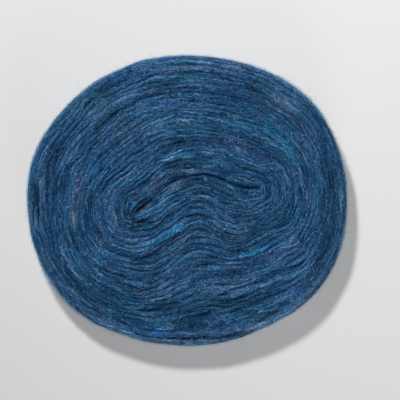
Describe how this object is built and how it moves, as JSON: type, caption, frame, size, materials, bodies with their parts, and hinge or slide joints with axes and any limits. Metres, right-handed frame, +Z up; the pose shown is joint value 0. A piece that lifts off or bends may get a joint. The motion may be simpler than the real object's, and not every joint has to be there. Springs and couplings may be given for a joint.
{
  "type": "wheel of unspun yarn",
  "caption": "Flat oval cake of loose, unspun wool roving, wound on its side round a closed-up fold, with a rolled rim and a flat underside.",
  "frame": {"origin": "middle of the underside, on the surface that the wheel lies on", "axes": "+Z up, square to the flat faces; +X along the oval's length, with the fold's blunt end towards -X"},
  "size_m": [0.2234, 0.2026, 0.0319],
  "materials": {
    "wool_roving": "heathered denim-blue wool, carded but not spun: matt, fuzzy, with lighter blue, teal, grey and near-black fibres"
  },
  "bodies": {
    "root": {"roving_wheel": "wool_roving"}
  },
  "joints": []
}
